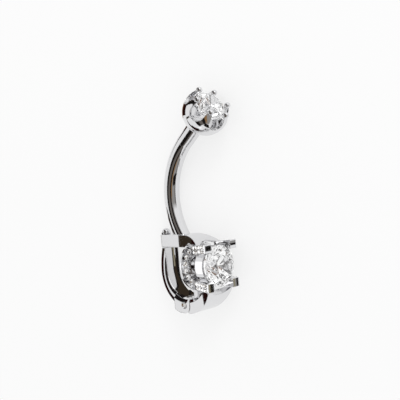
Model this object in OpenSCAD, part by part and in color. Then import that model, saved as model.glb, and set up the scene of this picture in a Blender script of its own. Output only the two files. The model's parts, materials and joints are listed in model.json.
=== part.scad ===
// Navel ring: a curved bar with a six-claw top cup, over a hinged hoop whose
// front carries a large round stone in four square claws inside a halo of small
// stones. Millimetres. Until rest() turns it, +X points the way the main stone
// faces, +Y is up when it is worn and +Z is the near side of the hoop.

/* [Bar] */
// diameter of the piercing bar
bar_d = 1.6; // [1.2:0.1:2]
// radius of the bar's bend, to its middle
bend_r = 7.4; // [6:0.1:10]
// the bend's centre, in front of and above the bar's foot
bend_x = 6.46; // [5:0.01:8]
bend_y = 3.61; // [2:0.01:5]
// the bend's lower and upper end, measured from its rearmost point
bend_low = 35; // [25:1:45]
bend_high = 51; // [30:1:60]
// straight end above the bend
bar_end = 2.1; // [1.5:0.1:4]
// how far the straight end is thicker than the bend, and how far it laps over it
end_step = 0.01; // [0.01:0.005:0.05]
end_lap = 0.3; // [0.2:0.05:0.5]
// post that the top cup turns on to
post_d = 1.0; // [0.8:0.05:1.2]
post_h = 0.9; // [0.5:0.05:1]

/* [Top cup] */
// radius of the cup's round outside
cup_r = 2.3; // [1.8:0.05:2.6]
// height of the ball's centre above the cup's foot
cup_mid = 1.9; // [1.5:0.05:2.2]
// thickness of the cup's wall
cup_wall = 0.32; // [0.25:0.01:0.5]
// floor of the hollow under the stone
cup_floor = 1.2; // [1.1:0.05:1.4]
// height of the claws above the foot
claw_h = 3.18; // [2.8:0.02:3.4]
// distance of the claws' ball tips from the cup's axis
claw_r = 1.82; // [1.5:0.02:2]
// radius of a ball tip
claw_ball = 0.3; // [0.2:0.01:0.35]
// claws round the cup
claws = 6; // [4:2:8]
// turn of the claws about the cup's axis
claw_turn = 47; // [0:1:60]
// radius and lowest point of the scallops between the claws
scallop_r = 0.76; // [0.5:0.02:1]
scallop_y = 1.65; // [1.3:0.05:2]
// top stone's diameter and the height of its girdle
top_stone_d = 3.5; // [3:0.1:4]
top_stone_y = 2.68; // [2.4:0.02:3]

/* [Hoop] */
// outer radius of the hoop and its centre
hoop_r = 3.95; // [3.5:0.05:5]
hoop_x = 1.15; // [0.5:0.05:2]
// radius of the opening and its centre
hole_r = 2.8; // [2.4:0.05:3.5]
hole_x = 1.1; // [0.5:0.05:2]
hole_y = -3.7; // [-4.5:0.05:-3]
// the flat strap that the bar stands on
strap_back = 2.25; // [2:0.05:3]
strap_h = 1.25; // [1:0.05:1.6]
strap_w = 1.7; // [1.6:0.05:2.4]
// where the strap starts to widen, the radius of that sweep and the width it ends at
sweep_x = 0.3; // [0:0.1:1.5]
sweep_r = 6.9; // [4:0.1:10]
front_w = 3.5; // [2.4:0.05:4]
// the same for the hoop's lower front
low_sweep_x = 2.3; // [1.5:0.1:3]
low_sweep_r = 8; // [4:0.1:12]
low_w = 2.7; // [2:0.05:3.5]
low_front_w = 3.4; // [2.6:0.05:4]

/* [Head] */
// how far the head's axis stands above the hoop's middle
head_rise = 0.83; // [0.5:0.01:1.1]
// radius of the round pocket that the head stands in, above and below
pocket_r = 2.5; // [2.2:0.02:2.8]
low_pocket_r = 2.85; // [2.2:0.05:3.2]
// halo ring: face, outer and inner radius, thickness of its edge and of the whole ring
halo_x = 2.15; // [2:0.05:2.6]
halo_r = 2.54; // [2.2:0.02:2.8]
halo_in_r = 1.3; // [1:0.05:1.6]
halo_edge = 0.25; // [0.2:0.05:0.5]
halo_t = 0.65; // [0.5:0.05:1]
// small stones in the halo
halo_stones_n = 18; // [12:1:24]
halo_stone_d = 0.54; // [0.4:0.01:0.7]
halo_stone_r = 1.94; // [1.6:0.02:2.2]
// basket under the main stone: its rail's radius, ends and wall, and the hole behind
rail_r = 2; // [1.6:0.05:2.1]
rail_back = 3.5; // [3.2:0.05:3.8]
rail_front = 4.5; // [3.8:0.05:4.6]
rail_wall = 0.45; // [0.3:0.05:0.6]
basket_hole_r = 0.9; // [0.5:0.05:1.1]
// slots in the basket's wall
slot_w = 0.34; // [0.2:0.02:0.5]
// metal left behind and in front of them
slot_back = 0.25; // [0.1:0.05:0.5]
slot_front = 0.15; // [0.1:0.05:0.5]
slot_n = 12; // [8:2:16]
// main stone's diameter and the place of its girdle
main_stone_d = 4.1; // [3.5:0.1:5]
main_stone_x = 4.85; // [4.6:0.05:5.2]
// square claws: width at the front and at the root, and where both ends are
tab_w = 0.88; // [0.6:0.02:1]
tab_root_w = 0.9; // [0.6:0.02:1]
tab_front = 5.3; // [5:0.05:5.6]
tab_root = 3.4; // [3.2:0.05:3.6]
// distance of the claws from the axis, sideways and up
tab_side = 1.77; // [1.5:0.01:2.1]
tab_up = 1.92; // [1.5:0.01:2.1]
// the same at their roots
root_side = 1.5; // [1.4:0.01:1.6]
root_up = 1.75; // [1.65:0.01:1.9]

/* [Hinge] */
// pin's place along the hoop and above its lowest point
pin_x = 0.8; // [0.4:0.05:1.4]
pin_inset = 0.82; // [0.7:0.01:1.2]
// its diameter, its countersink's width and depth, and the knuckle's radius
pin_d = 0.46; // [0.3:0.02:0.6]
sink_d = 0.7; // [0.5:0.02:0.9]
sink_h = 0.12; // [0.05:0.01:0.2]
knuckle_r = 0.79; // [0.6:0.01:1]
// width of the middle lug
lug_w = 1.0; // [0.8:0.05:1.4]
// lower end of the seam, and the lowest edge of the gate's arm, as angles at the pin
seam_low = -50; // [-60:1:-30]
arm_low = 240; // [230:1:250]

/* [Gate] */
// centre of the gate's outer curve
gate_x = 0.85; // [0.5:0.05:1.5]
// radius of the half-round stock that the arm is bent from
stock_r = 0.95; // [0.8:0.01:1.1]
// inner face of the gate above the opening's middle
gate_in_x = -1.7; // [-1.9:0.05:-1.5]
// radius and angle of the gentler bend above the hoop's middle
upper_r = 8.4; // [6:0.1:12]
upper_angle = 22; // [18:1:26]
// angle by which it laps over the lower bend
upper_lap = 2; // [1:0.5:4]
// plate on each side of the hinge: its back, its curved underside's radius, and the width of
// the slope between it and the opening
block_x = -0.55; // [-1.2:0.05:-0.4]
block_r = 2.5; // [2:0.05:4]
lip = 0.32; // [0.1:0.02:0.5]
// latch tongue: its middle, thickness and width, and the ball on its end
tongue_x = -2.5; // [-2.7:0.01:-2.4]
tongue_t = 0.3; // [0.2:0.02:0.4]
tongue_w = 0.7; // [0.4:0.05:1.2]
ball_d = 0.92; // [0.7:0.02:1.2]
ball_x = -2.3; // [-2.5:0.01:-2.1]
ball_y = 0.15; // [0:0.01:0.4]

/* [Gaps] */
// between a stone and its metal
stone_gap = 0.03; // [0.02:0.005:0.06]
// round the knuckle and beside the lug
hinge_gap = 0.06; // [0.05:0.01:0.1]
// pin in the lug, and the post in the cup
running_gap = 0.03; // [0.02:0.005:0.08]
// between the closed gate and the strap
latch_gap = 0.1; // [0.08:0.01:0.2]

/* [Rest] */
// turn about X, then about Y, that lays the ring on its three lowest points
rest_turn_x = -4.43; // [-6:0.01:-2]
rest_turn_y = -19.28; // [-22:0.01:-14]
// how far it then stands from the base plane and its middle
rest_x = -2.1402; // [-5:0.0001:5]
rest_y = -3.1842; // [-6:0.0001:6]
rest_z = 1.5428; // [0:0.0001:5]

/* [Hidden] */
$fn = 64;
hoop_y = -hoop_r;
head_y = head_rise - hoop_r;
pin_y = pin_inset - 2 * hoop_r;
bar_r = bar_d / 2;
far = 20;
axis_up = 90 - bend_high;
neck_x = bend_x - bend_r * cos(bend_high) + bar_end * cos(axis_up);
neck_y = bend_y + bend_r * sin(bend_high) + bar_end * sin(axis_up);
low_half = low_w / 2;
lug_half = lug_w / 2;
cheek_in = lug_half + hinge_gap;
gate_top_y = -strap_h - latch_gap;
table_part = 0.56;
crown_part = 0.32;
depth_part = 0.86;
girdle_part = 0.05;
steel = [0.78, 0.78, 0.79];
steel_dark = [0.6, 0.6, 0.62];
clear_stone = [0.9, 0.95, 1.0];

// whole ring turned from its worn pose to where it lies
module rest() {
    translate([rest_x, rest_y, rest_z])
        rotate([rest_turn_x, rest_turn_y, 0])
            children();
}

// z of the children runs along the head's axis, their x to the far side
module on_head() {
    translate([0, head_y, 0])
        rotate([0, 90, 0])
            children();
}

// z of the children runs along the bar's upper end, from the cup's foot
module on_cup() {
    translate([neck_x, neck_y, 0])
        rotate([0, 0, axis_up])
            rotate([0, 90, 0])
                children();
}

function ring(n, r, z, a) = [for (i = [0:n - 1]) [r * cos(a + i * 360 / n), r * sin(a + i * 360 / n), z]];

// round cut stone of diameter d, girdle at z = 0, table up
module cut_stone(d) {
    r = d / 2;
    g = d * girdle_part / 2;
    t = r * table_part;
    c = g + r * crown_part;
    k = r * 0.8;
    half_step = 360 / 16;
    kz = c - (k * cos(half_step) - t) * (c - g) / (r - t);
    points = concat(
        ring(8, t, c, half_step),
        ring(8, k, kz, 0),
        ring(16, r, g, 0),
        ring(16, r, -g, 0),
        [[0, 0, -g - r * depth_part]]);
    table = [[for (i = [7:-1:0]) i]];
    stars = [for (i = [0:7]) [i, (i + 1) % 8, 8 + (i + 1) % 8]];
    kites_a = [for (i = [0:7]) [i, 8 + (i + 1) % 8, 16 + 2 * i + 1]];
    kites_b = [for (i = [0:7]) [i, 16 + 2 * i + 1, 8 + i]];
    upper_a = [for (i = [0:7]) [8 + i, 16 + 2 * i + 1, 16 + 2 * i]];
    upper_b = [for (i = [0:7]) [8 + i, 16 + 2 * i, 16 + (2 * i + 15) % 16]];
    belt = [for (j = [0:15]) [16 + j, 16 + (j + 1) % 16, 32 + (j + 1) % 16, 32 + j]];
    pavilion = [for (j = [0:15]) [32 + j, 32 + (j + 1) % 16, 48]];
    polyhedron(points, concat(table, stars, kites_a, kites_b, upper_a, upper_b, belt, pavilion));
}

// room for a cut stone, grown by the gap all round
module stone_room(d, gap) {
    r = d / 2 + gap;
    g = d * girdle_part / 2 + gap;
    translate([0, 0, -g])
        cylinder(r = r, h = 2 * g);
    translate([0, 0, g])
        cylinder(r1 = r, r2 = r * table_part, h = r * crown_part);
    translate([0, 0, -g - r * depth_part])
        cylinder(r1 = 0, r2 = r, h = r * depth_part);
}

// upright prism over the hoop's side view
module slab(w) {
    translate([0, 0, -w / 2])
        linear_extrude(height = w)
            children();
}

module disc(x, y, r, w) {
    translate([x, y, -w / 2])
        cylinder(r = r, h = w, $fn = 96);
}

// what is cut away beside a part that widens from half width w at x, swept at radius r
module sweep_cut(x, r, w) {
    for (s = [-1, 1]) {
        translate([x, -far, s * (w + r)])
            rotate([-90, 0, 0])
                cylinder(r = r, h = 2 * far, $fn = 192);
        translate([x - far, -far, s > 0 ? w : -w - far])
            cube([far, 2 * far, far]);
    }
}

module hole() {
    intersection() {
        disc(hole_x, hole_y, hole_r, far);
        translate([-far, -far - strap_h, -far])
            cube([2 * far, far, 2 * far]);
    }
}

module pocket(r) {
    on_head()
        translate([0, 0, halo_x - halo_edge / 2])
            cylinder(r = r, h = far);
}

// slope along the opening's lower edges
module lip_cut() {
    for (s = [-1, 1])
        translate([hole_x, hole_y, s * (low_half - lip)])
            rotate([s > 0 ? 0 : 180, 0, 0])
                cylinder(r1 = hole_r, r2 = hole_r + 2 * lip, h = 2 * lip, $fn = 96);
}

// strap and the hoop's upper front
module upper_band() {
    difference() {
        intersection() {
            disc(hoop_x, hoop_y, hoop_r, front_w);
            translate([hoop_x, hoop_y, -front_w / 2])
                cube([hoop_r, hoop_r, front_w]);
        }
        sweep_cut(sweep_x, sweep_r, strap_w / 2);
        hole();
        pocket(pocket_r);
    }
    difference() {
        translate([-strap_back, -strap_h, -strap_w])
            cube([strap_back + hoop_x, strap_h, 2 * strap_w]);
        sweep_cut(sweep_x, sweep_r, strap_w / 2);
        translate([ball_x, ball_y, 0])
            sphere(d = ball_d + 2 * latch_gap);
    }
}

// the hoop's lower front, down to the hinge
module lower_band() {
    difference() {
        disc(hoop_x, hoop_y, hoop_r, low_front_w);
        sweep_cut(low_sweep_x, low_sweep_r, low_half);
        hole();
        lip_cut();
        pocket(low_pocket_r);
        // all above and behind the hinge
        translate([-far, head_y, -far])
            cube([2 * far, far, 2 * far]);
        translate([pin_x - far, -far, -far])
            cube([far, 2 * far, 2 * far]);
        // under the seam
        translate([pin_x, pin_y, -far / 2])
            rotate([0, 0, seam_low])
                translate([-far / 2, -far, 0])
                    cube([far, far, far]);
        // round the gate's cheeks
        for (s = [-1, 1])
            translate([pin_x, pin_y, s > 0 ? lug_half : -lug_half - far])
                cylinder(r = knuckle_r + hinge_gap, h = far);
    }
    difference() {
        disc(pin_x, pin_y, knuckle_r, lug_w);
        disc(pin_x, pin_y, pin_d / 2 + running_gap, far);
    }
}

// web, as wide as the lug, that joins the halo's underside to the lower front
module lower_web() {
    slab(lug_w)
        polygon([
            [halo_x - halo_t, hole_y - hole_r - lip],
            [halo_x - halo_edge / 2, hole_y - hole_r - lip],
            [halo_x - halo_edge / 2, head_y - halo_r + halo_edge],
            [halo_x - halo_edge, head_y - halo_r + halo_edge],
            [halo_x - halo_t, head_y - halo_r + halo_t]
        ]);
}

module bar() {
    translate([bend_x, bend_y, 0])
        rotate([0, 0, 180 - bend_high])
            rotate_extrude(angle = bend_high + bend_low, $fn = 128)
                translate([bend_r, 0])
                    circle(r = bar_r);
    on_cup() {
        translate([0, 0, -bar_end - end_lap])
            cylinder(r = bar_r + end_step, h = bar_end + end_lap);
        translate([0, 0, -bar_r])
            cylinder(d = post_d, h = bar_r + post_h);
    }
}

// halo ring and basket, turned about the head's axis
module head_metal() {
    difference() {
        rotate_extrude()
            polygon([
                [basket_hole_r, halo_x - halo_t],
                [halo_r - (halo_t - halo_edge), halo_x - halo_t],
                [halo_r, halo_x - halo_edge],
                [halo_r, halo_x],
                [halo_in_r, halo_x],
                [rail_r, rail_back],
                [rail_r, rail_front],
                [rail_r - rail_wall, rail_front],
                [basket_hole_r, rail_back - rail_wall]
            ]);
        for (i = [0:halo_stones_n - 1])
            rotate([0, 0, (i + 0.5) * 360 / halo_stones_n])
                translate([halo_stone_r, 0, halo_x])
                    stone_room(halo_stone_d, stone_gap);
        for (i = [0:slot_n / 2 - 1])
            rotate([0, 0, (i + 0.5) * 360 / slot_n])
                translate([-far / 2, -slot_w / 2, halo_x + slot_back])
                    cube([far, slot_w, rail_back - halo_x - slot_back - slot_front]);
    }
}

// side view of a claw that leans outwards from place a, wide wa, to place b, wide wb
module tab_side_view(a, wa, b, wb) {
    polygon([
        [tab_root, a - wa / 2],
        [tab_front, b - wb / 2],
        [tab_front, b + wb / 2],
        [tab_root, a + wa / 2]
    ]);
}

// four square claws, each where its two side views cross
module tabs() {
    for (sx = [-1, 1])
        for (sy = [-1, 1])
            intersection() {
                rotate([0, -90, 0])
                    slab(far)
                        tab_side_view(sy * root_up, tab_root_w, sy * tab_up, tab_w);
                rotate([0, -90, 0])
                    rotate([90, 0, 0])
                        slab(far)
                            tab_side_view(sx * root_side, tab_root_w, sx * tab_side, tab_w);
            }
}

module frame() {
    color(steel) {
        difference() {
            union() {
                bar();
                upper_band();
                lower_band();
                lower_web();
                on_head()
                    head_metal();
                on_head()
                    tabs();
            }
            on_head()
                translate([0, 0, main_stone_x])
                    stone_room(main_stone_d, stone_gap);
            disc(pin_x, pin_y, pin_d / 2 + running_gap, lug_w);
        }
    }
}

module hinge_pin() {
    color(steel_dark)
        disc(pin_x, pin_y, pin_d / 2, low_w - sink_h);
}

// half-round stock of the gate's arm, bent round the hoop and then more gently up
module gate_stock() {
    translate([gate_x, hoop_y, 0])
        rotate([0, 0, 180])
            rotate_extrude(angle = 90, $fn = 128)
                translate([hoop_r - stock_r, 0])
                    circle(r = stock_r);
    translate([gate_x - hoop_r + upper_r, hoop_y, 0])
        rotate([0, 0, 180 - upper_angle])
            rotate_extrude(angle = upper_angle + upper_lap, $fn = 128)
                translate([upper_r - stock_r, 0])
                    circle(r = stock_r + end_step);
}

module gate_arm() {
    difference() {
        gate_stock();
        disc(hole_x, hole_y, hole_r, far);
        // the flat inner face above the opening's middle
        translate([gate_in_x, hole_y, -far / 2])
            cube([far, far, far]);
        // above the gate's end
        translate([-far, gate_top_y, -far / 2])
            cube([2 * far, far, far]);
        // in front of the hinge and under it
        translate([pin_x, -far, -far / 2])
            cube([far, far, far]);
        translate([pin_x, pin_y, -far / 2])
            rotate([0, 0, arm_low])
                cube([far, far, far]);
    }
}

// block that carries the hinge
module gate_block() {
    difference() {
        disc(pin_x, block_r - 2 * hoop_r, block_r, low_w);
        disc(hole_x, hole_y, hole_r, far);
        translate([-far, head_y, -far / 2])
            cube([2 * far, far, far]);
        translate([block_x - far, -far, -far / 2])
            cube([far, 2 * far, far]);
        translate([pin_x, -far, -far / 2])
            cube([far, 2 * far, far]);
        translate([pin_x, pin_y, -far / 2])
            rotate([0, 0, arm_low])
                cube([far, far, far]);
    }
}

module gate() {
    color(steel) {
        difference() {
            union() {
                gate_arm();
                difference() {
                    union() {
                        gate_block();
                        disc(pin_x, pin_y, knuckle_r, low_w);
                    }
                    lip_cut();
                }
                translate([tongue_x - tongue_t / 2, gate_top_y - tongue_t, -tongue_w / 2])
                    cube([tongue_t, ball_y - gate_top_y + tongue_t, tongue_w]);
                translate([ball_x, ball_y, 0])
                    sphere(d = ball_d);
            }
            disc(pin_x, pin_y, knuckle_r + hinge_gap, 2 * cheek_in);
            disc(pin_x, pin_y, pin_d / 2, far);
            for (s = [-1, 1])
                translate([pin_x, pin_y, s * (low_half - sink_h)])
                    rotate([s > 0 ? 0 : 180, 0, 0])
                        cylinder(d1 = pin_d, d2 = sink_d, h = sink_h);
        }
    }
}

module top_cup() {
    color(steel)
        on_cup() {
            difference() {
                intersection() {
                    translate([0, 0, cup_mid])
                        sphere(r = cup_r, $fn = 96);
                    cylinder(r = cup_r + 1, h = claw_h);
                }
                intersection() {
                    translate([0, 0, cup_mid])
                        sphere(r = cup_r - cup_wall, $fn = 96);
                    translate([0, 0, cup_floor])
                        cylinder(r = cup_r + 1, h = claw_h);
                }
                for (i = [0:claws / 2 - 1])
                    rotate([0, 0, claw_turn + (i + 0.5) * 360 / claws]) {
                        translate([-far / 2, 0, scallop_y + scallop_r])
                            rotate([0, 90, 0])
                                cylinder(r = scallop_r, h = far);
                        translate([-far / 2, -scallop_r, scallop_y + scallop_r])
                            cube([far, 2 * scallop_r, far]);
                    }
                translate([0, 0, -post_h])
                    cylinder(d = post_d + 2 * running_gap, h = 2 * post_h + running_gap);
            }
            for (i = [0:claws - 1])
                rotate([0, 0, claw_turn + i * 360 / claws])
                    translate([claw_r, 0, claw_h])
                        sphere(r = claw_ball, $fn = 32);
        }
}

module top_stone() {
    color(clear_stone)
        on_cup()
            translate([0, 0, top_stone_y])
                cut_stone(top_stone_d);
}

module main_stone() {
    color(clear_stone)
        on_head()
            translate([0, 0, main_stone_x])
                cut_stone(main_stone_d);
}

module halo_stones() {
    color(clear_stone)
        on_head()
            for (i = [0:halo_stones_n - 1])
                rotate([0, 0, (i + 0.5) * 360 / halo_stones_n])
                    translate([halo_stone_r, 0, halo_x])
                        cut_stone(halo_stone_d);
}

rest() {
    frame();
    hinge_pin();
    gate();
    top_cup();
    top_stone();
    main_stone();
    halo_stones();
}
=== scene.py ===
"""Navel ring: polished metal, cut stones, floor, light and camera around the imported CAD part.

The ring lies on its side. "Worn" axes are the ring's own, in millimetres: F is the way the main
stone faces, U is up when it is worn and L is its near side, with the origin at the bar's foot.
"""

import json
import math

import bmesh
import bpy
from mathutils import Euler, Matrix, Vector


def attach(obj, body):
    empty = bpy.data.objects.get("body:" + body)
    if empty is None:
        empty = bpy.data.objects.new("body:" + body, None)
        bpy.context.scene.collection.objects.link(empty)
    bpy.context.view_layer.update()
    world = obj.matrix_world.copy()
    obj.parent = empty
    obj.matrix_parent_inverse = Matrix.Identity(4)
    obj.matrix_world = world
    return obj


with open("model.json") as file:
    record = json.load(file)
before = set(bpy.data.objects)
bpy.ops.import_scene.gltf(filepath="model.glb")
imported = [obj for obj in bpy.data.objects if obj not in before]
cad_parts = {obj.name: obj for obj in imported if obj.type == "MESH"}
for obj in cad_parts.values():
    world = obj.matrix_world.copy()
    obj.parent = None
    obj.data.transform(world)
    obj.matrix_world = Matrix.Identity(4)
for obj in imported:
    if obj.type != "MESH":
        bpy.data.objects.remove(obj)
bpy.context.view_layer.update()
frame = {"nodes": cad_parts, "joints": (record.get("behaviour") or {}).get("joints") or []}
nodes = frame["nodes"]

# ---- the worn axes, and sizes of the part that the scene repeats in them

MM = 0.001
REST_TURN_X = math.radians(-4.43)  # from worn to lying
REST_TURN_Y = math.radians(-19.28)
HINGE = Vector((0.8, -7.08, 0))  # the gate's pin
GATE_F = -1.7  # the gate's flat inner face
HEAD_U = -3.12  # the head's axis
HALO_F = 2.15  # the halo's face
HALO_N = 18  # stones in the halo
ROOT_F, ROOT_SIDE, ROOT_UP, ROOT_HALF = 3.4, 1.5, 1.75, 0.45  # a claw's root and half width
TIP_F, TIP_SIDE, TIP_UP, TIP_HALF = 5.3, 1.77, 1.92, 0.44  # the same at its front face
CAMERA_AT = (57.71, 7.26, 55.06)  # as fitted to the photo

turn = Euler((REST_TURN_X, REST_TURN_Y, 0)).to_matrix()
gate_joint = next(j for j in frame["joints"] if j["name"] == "gate_hinge")
shift = Vector(gate_joint["pos_m"]) - turn @ (HINGE * MM)


def place(f, u, l):
    """A point of the worn ring, in millimetres, to metres in the row's frame."""
    return turn @ (Vector((f, u, l)) * MM) + shift


def aim(f, u, l):
    """A direction of the worn ring in the row's frame."""
    return (turn @ Vector((f, u, l))).normalized()


# ---- materials

GLOSS_SCALE = 900  # of the soft unevenness in the polish
GLOSS_DETAIL = 3
EDGE_SAMPLES = 6
SMOOTH_ANGLE = math.radians(28)
ZIRCONIA_IOR = 2.17
PAINTED_GLOW = 0.22  # painted glow of the small stones, in place of the many reflections in them
PAINTED_GLITTER = (  # painted glitter: where each tone of their light and dark cells starts, as a share of the cells
    (0.0, (0.12, 0.10, 0.08, 1)),
    (0.18, (0.40, 0.35, 0.30, 1)),
    (0.30, (0.75, 0.75, 0.75, 1)),
    (0.5, (1, 1, 1, 1)),
)


def new_material(name, **values):
    """A material with the given inputs; _ stands for a space in an input's name."""
    mat = bpy.data.materials.new(name)
    mat.use_nodes = True
    bsdf = mat.node_tree.nodes["Principled BSDF"]
    for key, value in values.items():
        bsdf.inputs[key.replace("_", " ")].default_value = value
    return mat


def polished(name, tone, rough, wear, edge):
    """Polished metal: soft unevenness in its gloss, and edges rounded over by edge metres."""
    mat = new_material(name, Base_Color=(*tone, 1), Metallic=1.0, Roughness=rough)
    tree = mat.node_tree
    bsdf = tree.nodes["Principled BSDF"]
    coord = tree.nodes.new("ShaderNodeTexCoord")
    noise = tree.nodes.new("ShaderNodeTexNoise")
    noise.inputs["Scale"].default_value = GLOSS_SCALE
    noise.inputs["Detail"].default_value = GLOSS_DETAIL
    ramp = tree.nodes.new("ShaderNodeMapRange")
    ramp.inputs["To Min"].default_value = rough
    ramp.inputs["To Max"].default_value = rough + wear
    tree.links.new(coord.outputs["Object"], noise.inputs["Vector"])
    tree.links.new(noise.outputs["Fac"], ramp.inputs["Value"])
    tree.links.new(ramp.outputs["Result"], bsdf.inputs["Roughness"])
    bevel = tree.nodes.new("ShaderNodeBevel")
    bevel.samples = EDGE_SAMPLES
    bevel.inputs["Radius"].default_value = edge
    tree.links.new(bevel.outputs["Normal"], bsdf.inputs["Normal"])
    return mat


def sparkling(name, cell):
    """Small cut stones: their inner glitter is painted, as cells of light and dark, cell metres
    wide, in their colour and glow.
    """
    mat = new_material(name, Roughness=0.04, IOR=ZIRCONIA_IOR, Metallic=0.45)
    tree = mat.node_tree
    bsdf = tree.nodes["Principled BSDF"]
    coord = tree.nodes.new("ShaderNodeTexCoord")
    cells = tree.nodes.new("ShaderNodeTexVoronoi")
    cells.inputs["Scale"].default_value = 1 / cell
    part = tree.nodes.new("ShaderNodeSeparateColor")
    ramp = tree.nodes.new("ShaderNodeValToRGB")
    ramp.color_ramp.interpolation = "CONSTANT"
    marks = ramp.color_ramp.elements
    marks[0].position, marks[0].color = PAINTED_GLITTER[0]
    marks[1].position, marks[1].color = PAINTED_GLITTER[-1]
    for position, tone in PAINTED_GLITTER[1:-1]:
        marks.new(position).color = tone
    tree.links.new(coord.outputs["Object"], cells.inputs["Vector"])
    tree.links.new(cells.outputs["Color"], part.inputs["Color"])
    tree.links.new(part.outputs["Red"], ramp.inputs["Fac"])
    # the cells of painted glitter set the stones' colour and also their painted glow
    tree.links.new(ramp.outputs["Color"], bsdf.inputs["Base Color"])
    tree.links.new(ramp.outputs["Color"], bsdf.inputs["Emission Color"])
    bsdf.inputs["Emission Strength"].default_value = PAINTED_GLOW
    return mat


steel = polished("polished_steel", (0.74, 0.74, 0.75), rough=0.04, wear=0.03, edge=0.06 * MM)
pin_steel = polished("pin_steel", (0.62, 0.61, 0.6), rough=0.15, wear=0.1, edge=0.04 * MM)
zircon = new_material(
    "clear_stone",
    Base_Color=(1, 1, 1, 1),
    Roughness=0.0,
    IOR=ZIRCONIA_IOR,
    Transmission_Weight=1.0,
)
small_stone = sparkling("small_stone", cell=0.13 * MM)

for name, mat, smooth in (
    ("frame", steel, True),
    ("gate", steel, True),
    ("top_cup", steel, True),
    ("hinge_pin", pin_steel, True),
    ("main_stone", zircon, False),
    ("top_stone", zircon, False),
    ("halo_stones", small_stone, False),
):
    mesh = nodes[name].data
    mesh.materials.clear()
    mesh.materials.append(mat)
    if smooth:
        mesh.shade_smooth()
        mesh.set_sharp_from_angle(angle=SMOOTH_ANGLE)
    else:
        mesh.shade_flat()

# ---- beads round the halo's stones, and small stones and beads on the claws' sides

BEADS_BESIDE = ((1.5, 0.07), (2.38, 0.08))  # radius of a row, and of its beads, beside a stone
BEADS_BETWEEN = ((1.73, 0.08), (2.13, 0.08), (2.4, 0.08))  # the same between two stones
BEAD_SUBDIVISIONS = 2
GEM_R = 0.19
GEM_SIDES = 8
GEM_F, GEM_STEP, GEMS = 3.62, 0.4, 4  # first stone of a row, the step and the number
GEM_ROWS = (-0.21, 0.21)
GEM_WAIST, GEM_TABLE = 0.97, 0.55  # parts of a stone's radius
GEM_LAYER = 0.07  # height of its belt and of its crown
GEM_BELT, GEM_CROWN = 0.02, 0.09  # their middles above the claw's side
CLAW_BEAD_ROWS = (-0.4, 0, 0.4)
CLAW_BEAD_R = 0.06
CLAW_BEAD_RISE = 0.03


def bead(bm, f, u, l, radius):
    """A ball of metal at a worn point."""
    at = Matrix.Translation(place(f, u, l))
    bmesh.ops.create_icosphere(
        bm, subdivisions=BEAD_SUBDIVISIONS, radius=radius * MM, matrix=at
    )


def gem(bm, f, u, l, side):
    """A small cut stone of two layers, with its table towards the given side."""
    turned = aim(0, 0, side).to_track_quat("Z", "Y").to_matrix().to_4x4()
    face = Matrix.Translation(place(f, u, l)) @ turned
    for low, top, middle in ((1, GEM_WAIST, GEM_BELT), (GEM_WAIST, GEM_TABLE, GEM_CROWN)):
        bmesh.ops.create_cone(
            bm,
            cap_ends=True,
            segments=GEM_SIDES,
            radius1=GEM_R * low * MM,
            radius2=GEM_R * top * MM,
            depth=GEM_LAYER * MM,
            matrix=face @ Matrix.Translation((0, 0, middle * MM)),
        )


def halo_rows(beads):
    """Beads in rings round the head's axis, beside each halo stone and between each two."""
    for i in range(2 * HALO_N):
        a = math.radians(i * 180 / HALO_N)
        for r, size in BEADS_BESIDE if i % 2 else BEADS_BETWEEN:
            bead(beads, HALO_F, HEAD_U + r * math.sin(a), r * math.cos(a), size)


def claw_rows(beads, gems, side, up):
    """Stones in two rows, and beads beside and between them, on the outer side of one claw."""
    root_l, tip_l = ROOT_SIDE + ROOT_HALF, TIP_SIDE + TIP_HALF
    for i in range(GEMS):
        f = GEM_F + i * GEM_STEP
        part = (f - ROOT_F) / (TIP_F - ROOT_F)
        l = root_l + (tip_l - root_l) * part
        u = ROOT_UP + (TIP_UP - ROOT_UP) * part
        for row in GEM_ROWS:
            gem(gems, f, HEAD_U + up * (u + row), side * l, side)
        for row in CLAW_BEAD_ROWS:
            bead_l = side * (l + CLAW_BEAD_RISE)
            bead(beads, f + GEM_STEP / 2, HEAD_U + up * (u + row), bead_l, CLAW_BEAD_R)


def add_mesh(name, bm, mat):
    """Turn bm into an object that rides on the ring."""
    mesh = bpy.data.meshes.new(name)
    bm.to_mesh(mesh)
    bm.free()
    mesh.materials.append(mat)
    obj = bpy.data.objects.new(name, mesh)
    bpy.context.scene.collection.objects.link(obj)
    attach(obj, "ring")
    return obj


bead_mesh = bmesh.new()
gem_mesh = bmesh.new()
halo_rows(bead_mesh)
for side in (-1, 1):
    for up in (-1, 1):
        claw_rows(bead_mesh, gem_mesh, side, up)
add_mesh("halo_beads", bead_mesh, steel).data.shade_smooth()
add_mesh("claw_stones", gem_mesh, small_stone)

# ---- floor

FLOOR_SIZE = 1.2
FLOOR_TONE = 0.3
FLOOR_GLOW = 0.65

bpy.ops.mesh.primitive_plane_add(size=FLOOR_SIZE, location=(0, 0, 0))
floor = bpy.context.object
floor.name = "floor"
floor.data.materials.append(
    new_material(
        "floor_white",
        Base_Color=(FLOOR_TONE, FLOOR_TONE, FLOOR_TONE, 1),
        Roughness=0.9,
        Specular_IOR_Level=0.0,
        Emission_Color=(1, 1, 1, 1),
        Emission_Strength=FLOOR_GLOW,
    )
)

# ---- light

WORLD_LIGHT = 0.97
MOST_BOUNCES, METAL_BOUNCES, STONE_BOUNCES = 24, 12, 20
KEY_TOWARDS = (0.7, 0.9, 0.5)
KEY_DISTANCE, KEY_SIZE, KEY_WATTS = 0.25, 0.09, 0.12
RING_MID = place(1.5, 2, 0)

world = bpy.data.worlds.new("studio")
bpy.context.scene.world = world
world.use_nodes = True
background = world.node_tree.nodes["Background"]
background.inputs["Color"].default_value = (1, 1, 1, 1)
background.inputs["Strength"].default_value = WORLD_LIGHT
bpy.context.scene.view_settings.view_transform = "Standard"
bpy.context.scene.cycles.max_bounces = MOST_BOUNCES
bpy.context.scene.cycles.glossy_bounces = METAL_BOUNCES
bpy.context.scene.cycles.transmission_bounces = STONE_BOUNCES


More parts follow.
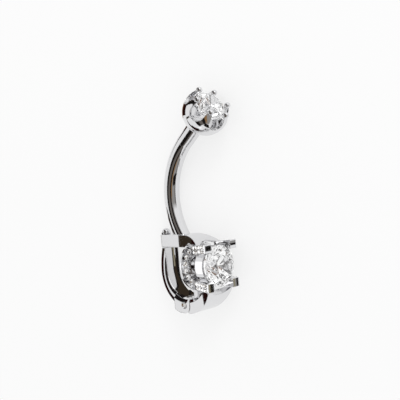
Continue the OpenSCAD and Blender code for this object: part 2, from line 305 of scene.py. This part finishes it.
def area_light(name, towards, distance, size, watts):
    """A square soft light in the given worn direction, facing the ring."""
    data = bpy.data.lights.new(name, "AREA")
    data.shape = "SQUARE"
    data.size = size
    data.energy = watts
    light = bpy.data.objects.new(name, data)
    bpy.context.scene.collection.objects.link(light)
    way = aim(*towards)
    light.location = RING_MID + way * distance
    light.rotation_euler = way.to_track_quat("Z", "Y").to_euler()


area_light("key", KEY_TOWARDS, KEY_DISTANCE, KEY_SIZE, KEY_WATTS)

# ---- cards that the metal mirrors, or that show in the stones

BLACK = (0.012, 0.010, 0.009)
MAROON = (0.018, 0.004, 0.003)
UMBER = (0.04, 0.03, 0.02)
DUSK = (0.155, 0.14, 0.128)
RUST = (0.16, 0.075, 0.035)
AMBER = (0.30, 0.175, 0.08)
BEIGE = (0.30, 0.27, 0.19)
GREY = (0.33, 0.32, 0.31)
DIM = (0.15, 0.145, 0.14)
WHITE = (0.97, 0.97, 0.97)
BRIGHT = (1.4, 1.4, 1.4)
CARD_STEP_DEG = 4
FEWEST_STEPS = 4


def sheet(name, verts, faces, tones, in_stones=False):
    """A sheet seen in the metal or in the stones only, with one tone or one for each vertex."""
    mesh = bpy.data.meshes.new(name)
    mesh.from_pydata(verts, [], faces)
    if not isinstance(tones, list):
        tones = [tones] * len(verts)
    layer = mesh.color_attributes.new("tone", "FLOAT_COLOR", "POINT")
    for spot, tone in zip(layer.data, tones):
        spot.color = (*tone, 1)
    obj = bpy.data.objects.new(name, mesh)
    bpy.context.scene.collection.objects.link(obj)
    mat = new_material(name, Base_Color=(0, 0, 0, 1), Roughness=1.0, Specular_IOR_Level=0.0)
    tree = mat.node_tree
    bsdf = tree.nodes["Principled BSDF"]
    read = tree.nodes.new("ShaderNodeAttribute")
    read.attribute_name = "tone"
    tree.links.new(read.outputs["Color"], bsdf.inputs["Emission Color"])
    bsdf.inputs["Emission Strength"].default_value = 1.0
    mesh.materials.append(mat)
    obj.visible_camera = False
    obj.visible_diffuse = False
    obj.visible_glossy = not in_stones
    obj.visible_transmission = in_stones
    obj.visible_shadow = False


def around(a, b):
    """The corners of an oblong, as pairs in order round it; a and b are (from, to)."""
    return [(a[0], b[0]), (a[1], b[0]), (a[1], b[1]), (a[0], b[1])]


def patch(name, corners, tone, in_stones=False):
    """A flat sheet between worn points."""
    sheet(name, [place(*c) for c in corners], [tuple(range(len(corners)))], tone, in_stones)


def floor_card(name, x, y, height, tone):
    """A level sheet; x and y (from, to) and height are in millimetres of the row's frame."""
    sheet(name, [Vector((*c, height)) * MM for c in around(x, y)], [(0, 1, 2, 3)], tone)


def card(name, from_deg, to_deg, radius, levels):
    """A sheet bent round the ring's U axis; levels are (height in mm, tone) from low to high.

    Angles run from F towards L.
    """
    steps = max(FEWEST_STEPS, int(abs(to_deg - from_deg) / CARD_STEP_DEG))
    verts, faces, tones = [], [], []
    up = aim(0, 1, 0)
    n = len(levels)
    for i in range(steps + 1):
        a = math.radians(from_deg + (to_deg - from_deg) * i / steps)
        way = aim(math.cos(a), 0, math.sin(a)) * radius * MM
        verts += [RING_MID + way + up * level * MM for level, tone in levels]
        tones += [tone for level, tone in levels]
    for i in range(steps):
        for k in range(n - 1):
            c = n * i + k
            faces.append((c, c + 1, c + n + 1, c + n))
    sheet(name, verts, faces, tones)


def ribbon(name, start, ways, distance, half, tone):
    """A narrow sheet across the given directions, as seen from the worn point start."""
    spots = [Vector(w).normalized() * distance for w in ways]
    verts = []
    for i, spot in enumerate(spots):
        along = spots[min(i + 1, len(spots) - 1)] - spots[max(i - 1, 0)]
        across = along.cross(spot).normalized() * half
        verts += [place(*(Vector(start) + spot - across)), place(*(Vector(start) + spot + across))]
    faces = [(2 * i, 2 * i + 1, 2 * i + 3, 2 * i + 2) for i in range(len(spots) - 1)]
    sheet(name, verts, faces, tone)


# far off, from before the ring round past its near side: what the bar mirrors
FAR = 160
TALL = 300
WARM_LOW, WARM_TOP, WARM_END = -150, -20, 6
PALE_FROM, PALE_FULL = 8, 34

for name, from_deg, to_deg, tone in (
    ("card_black", 97, 121, BLACK),
    ("card_dusk", 72, 97, DUSK),
    ("card_core", 54, 72, BLACK),
):
    card(name, from_deg, to_deg, FAR, [(-TALL, tone), (TALL, tone)])
warm = [(-TALL, GREY), (WARM_LOW, AMBER), (WARM_TOP, AMBER), (WARM_END, GREY), (TALL, GREY)]
card("card_amber", 42, 54, FAR, warm)
for name, from_deg, to_deg, tone in (("card_grey", 4, 42, GREY), ("card_line", -12, 4, DIM)):
    pale = [(-TALL, tone), (PALE_FROM, tone), (PALE_FULL, WHITE), (TALL, WHITE)]
    card(name, from_deg, to_deg, FAR, pale)

# behind the hoop, below the strap's top
CLOSE = 14

rear = [(-22, BLACK), (-9, MAROON), (-5, MAROON), (-4.2, UMBER), (-2.3, UMBER)]
card("rear_low", 146, 215, CLOSE, rear)
card("rear_far", 139.5, 166, FAR, [(-27, UMBER), (-11, UMBER)])
floor_card("floor_rear_low", (-110, -6.4), (-70, -2), 0.3, MAROON)

# what the cup mirrors
CUP_CARD_U = 1

floor_card("floor_cup", (-3.6, -0.6), (8.2, 24), 0.1, RUST)
floor_card("floor_cup_far", (-60, -3.6), (8.6, 60), 0.1, MAROON)
patch("cup_front", [(f, CUP_CARD_U, l) for f, l in around((6.5, 9.5), (-0.5, 6))], BLACK)

# beside the gate, for its flat inner face
STRIP_L = -1.2
STRIP_LOW, STRIP_TOP = -7.2, -1.6
STRIPE_LOW = -3.6
SIGHT_SLOPE = 1.043  # F for each L along the camera's line of sight, mirrored by that face
WEDGE_L = -1.25
WEDGE_TOP = -2.4


def gate_strip(name, near, far, tone, low=STRIP_LOW):
    """A strip that the gate's inner face mirrors between two places of its width."""
    f0, f1 = (GATE_F + SIGHT_SLOPE * (l - STRIP_L) for l in (far, near))
    patch(name, [(f, u, STRIP_L) for f, u in around((f0, f1), (low, STRIP_TOP))], tone)


gate_strip("gate_line", 0.08, -0.06, BLACK)
gate_strip("gate_stripe", -0.06, -0.28, BEIGE, STRIPE_LOW)
gate_strip("gate_dark", -0.42, -0.86, BLACK)
wedge = [(-1.1, STRIP_LOW), (0.1, STRIP_LOW), (-0.5, WEDGE_TOP), (-0.8, WEDGE_TOP)]
patch("gate_low", [(f, u, WEDGE_L) for f, u in wedge], UMBER)

# what the slope along the opening's lower edge mirrors, behind the ring and over it
LIP_AT = (0, -6.2, 1.2)
LIP_WAYS = [(-0.78, 0.6, 0.05), (-0.715, 0.68, 0.17), (-0.3, 0.8, 0.45), (0.21, 0.75, 0.63)]
LIP_DISTANCE = 60
LIP_HALF = 6

ribbon("lip_sky", LIP_AT, LIP_WAYS, LIP_DISTANCE, LIP_HALF, BLACK)

# what the near side of the basket mirrors
RAIL_CARD_L = 5.5

patch("rail_white", [(f, u, RAIL_CARD_L) for f, u in around((-1.2, 2.4), (-7, -0.5))], BRIGHT)

# what shows in the stones
STONE_CARD_F = 60
CUP_AHEAD_F = 65
CUP_BEHIND_F = -30


def stone_card(name, up, side, tone):
    """A card for the main stone's facets; up and side are (from, to) slopes from its axis."""
    away = STONE_CARD_F
    corners = [(away, HEAD_U + u * away, l * away) for u, l in around(up, side)]
    patch(name, corners, tone, in_stones=True)


def cup_card(name, f, up, side):
    """A card for the top stone; up and side are (from, to) in worn millimetres."""
    patch(name, [(f, u, l) for u, l in around(up, side)], UMBER, in_stones=True)


stone_card("stone_black", (-0.24, 0.06), (0.05, 0.8), BLACK)
stone_card("stone_brown", (0.22, 0.6), (-0.05, 0.3), RUST)
stone_card("stone_beige", (0.1, 0.2), (-0.2, 0.1), AMBER)
cup_card("cup_ahead", CUP_AHEAD_F, (6, 18), (-15, 5))
cup_card("cup_behind", CUP_BEHIND_F, (0, 18), (-12, 12))

# before the claws, for their front faces
NEAR_SIDE, FAR_SIDE = 1, -1
TOP, LOW = 1, -1
CLAW_CARD_OFF = {NEAR_SIDE: 5, FAR_SIDE: 1.7}


def claw_card(name, side, up, across, upward, tone):
    """A small card that one claw's front face mirrors.

    across and upward are (from, to) as parts of the face's half width.
    """
    spot = Vector((TIP_F, HEAD_U + up * TIP_UP, side * TIP_SIDE))
    way = (spot - Vector(CAMERA_AT)).normalized()
    way.x = -way.x
    mid = spot + way * (CLAW_CARD_OFF[side] / way.x)
    ring = around(across, upward)
    patch(name, [(mid.x, mid.y + u * TIP_HALF, mid.z + l * TIP_HALF) for l, u in ring], tone)


claw_card("near_top_black", NEAR_SIDE, TOP, (-1.3, 1.2), (-0.6, 0.7), BLACK)
claw_card("far_top_grey", FAR_SIDE, TOP, (-1.1, 1.1), (0.2, 0.75), GREY)
claw_card("far_top_black", FAR_SIDE, TOP, (-1.1, 1.1), (-0.3, 0.2), BLACK)
claw_card("near_low_beige", NEAR_SIDE, LOW, (0.45, 1.2), (-1.2, 1.2), BEIGE)
claw_card("near_low_black", NEAR_SIDE, LOW, (-0.8, 0.45), (-1.2, 1.2), BLACK)
claw_card("far_low_beige", FAR_SIDE, LOW, (0.4, 1.1), (-1.1, 1.1), BEIGE)
claw_card("far_low_grey", FAR_SIDE, LOW, (-0.05, 0.4), (-1.1, 1.1), GREY)
claw_card("far_low_black", FAR_SIDE, LOW, (-0.75, -0.05), (-1.1, 1.1), BLACK)

# ---- camera, as fitted to the photo

PHOTO_PX = 400
FOCAL_PX = 785
SENSOR_MM = 36
CLIP_START = 0.005
CAMERA_RIGHT = (0.70994, -0.08977, -0.69852)
CAMERA_UP = (0.02871, 0.99471, -0.09865)

cam_data = bpy.data.cameras.new("camera")
cam_data.sensor_width = SENSOR_MM
cam_data.lens = FOCAL_PX / PHOTO_PX * SENSOR_MM
cam_data.clip_start = CLIP_START
camera = bpy.data.objects.new("camera", cam_data)
bpy.context.scene.collection.objects.link(camera)
right = aim(*CAMERA_RIGHT)
up = aim(*CAMERA_UP)
axes = Matrix((right, up, right.cross(up))).transposed().to_4x4()
camera.matrix_world = Matrix.Translation(place(*CAMERA_AT)) @ axes
bpy.context.scene.camera = camera
